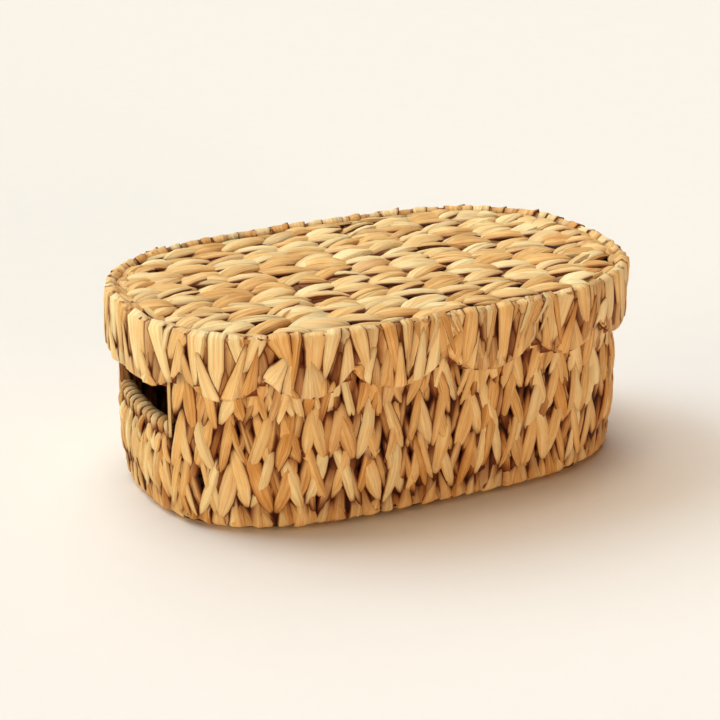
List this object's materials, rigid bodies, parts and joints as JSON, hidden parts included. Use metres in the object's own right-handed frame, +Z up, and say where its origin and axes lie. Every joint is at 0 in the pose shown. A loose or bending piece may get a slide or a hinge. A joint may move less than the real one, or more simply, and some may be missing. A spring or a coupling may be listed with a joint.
{
  "type": "woven storage basket with lid",
  "caption": "Oblong basket of plant-fibre strands woven over a wire frame, with a hand hole at each end and a loose lid whose scalloped skirt hangs over the tub.",
  "frame": {"origin": "middle of the tub's underside, on the surface that the basket stands on", "axes": "+X along the basket towards its right hand hole, +Y across it to the back, +Z up"},
  "size_m": [0.403, 0.251, 0.152],
  "materials": {
    "straw": "dried plant-fibre strands, honey tan, matte with a faint sheen along the fibres",
    "pale_straw": "dried plant-fibre strands, paler straw, matte",
    "iron": "welded wire with a dark brown varnish"
  },
  "bodies": {
    "tub": {"tub_foot_hoop": "iron", "tub_lower_hoop": "iron", "tub_middle_hoop": "iron", "tub_upper_hoop": "iron", "tub_rim_hoop": "iron", "tub_stake_1": "iron", "tub_stake_2": "iron", "tub_stake_3": "iron", "tub_stake_4": "iron", "tub_stake_5": "iron", "tub_stake_6": "iron", "tub_stake_7": "iron", "tub_stake_8": "iron", "tub_stake_9": "iron", "tub_stake_10": "iron", "right_handle_short_stake": "iron", "left_handle_short_stake": "iron", "tub_wall_weave": "straw", "tub_rim_roll": "pale_straw", "right_handle_binding": "pale_straw", "left_handle_binding": "pale_straw", "tub_floor_bar_1": "iron", "tub_floor_bar_2": "iron", "tub_floor_bar_3": "iron", "tub_floor_bar_4": "iron", "tub_floor_bar_5": "iron", "tub_floor_weave": "straw"},
    "lid": {"lid_rim_hoop": "iron", "lid_scalloped_hoop": "iron", "lid_bar_1": "iron", "lid_bar_2": "iron", "lid_bar_3": "iron", "lid_bar_4": "iron", "lid_bar_5": "iron", "lid_bar_6": "iron", "lid_bar_7": "iron", "lid_bar_8": "iron", "lid_bar_9": "iron", "lid_bar_10": "iron", "lid_bar_11": "iron", "lid_top_weave": "straw", "lid_post_1": "iron", "lid_post_2": "iron", "lid_post_3": "iron", "lid_post_4": "iron", "lid_post_5": "iron", "lid_post_6": "iron", "lid_post_7": "iron", "lid_post_8": "iron", "lid_post_9": "iron", "lid_post_10": "iron", "lid_post_11": "iron", "lid_post_12": "iron", "lid_post_13": "iron", "lid_post_14": "iron", "lid_skirt_weave": "pale_straw"}
  },
  "joints": [
    {"name": "lid_lift", "type": "slide", "parent": "tub", "child": "lid", "axis": [0, 0, 1], "range_m": [0, 0.12]}
  ]
}
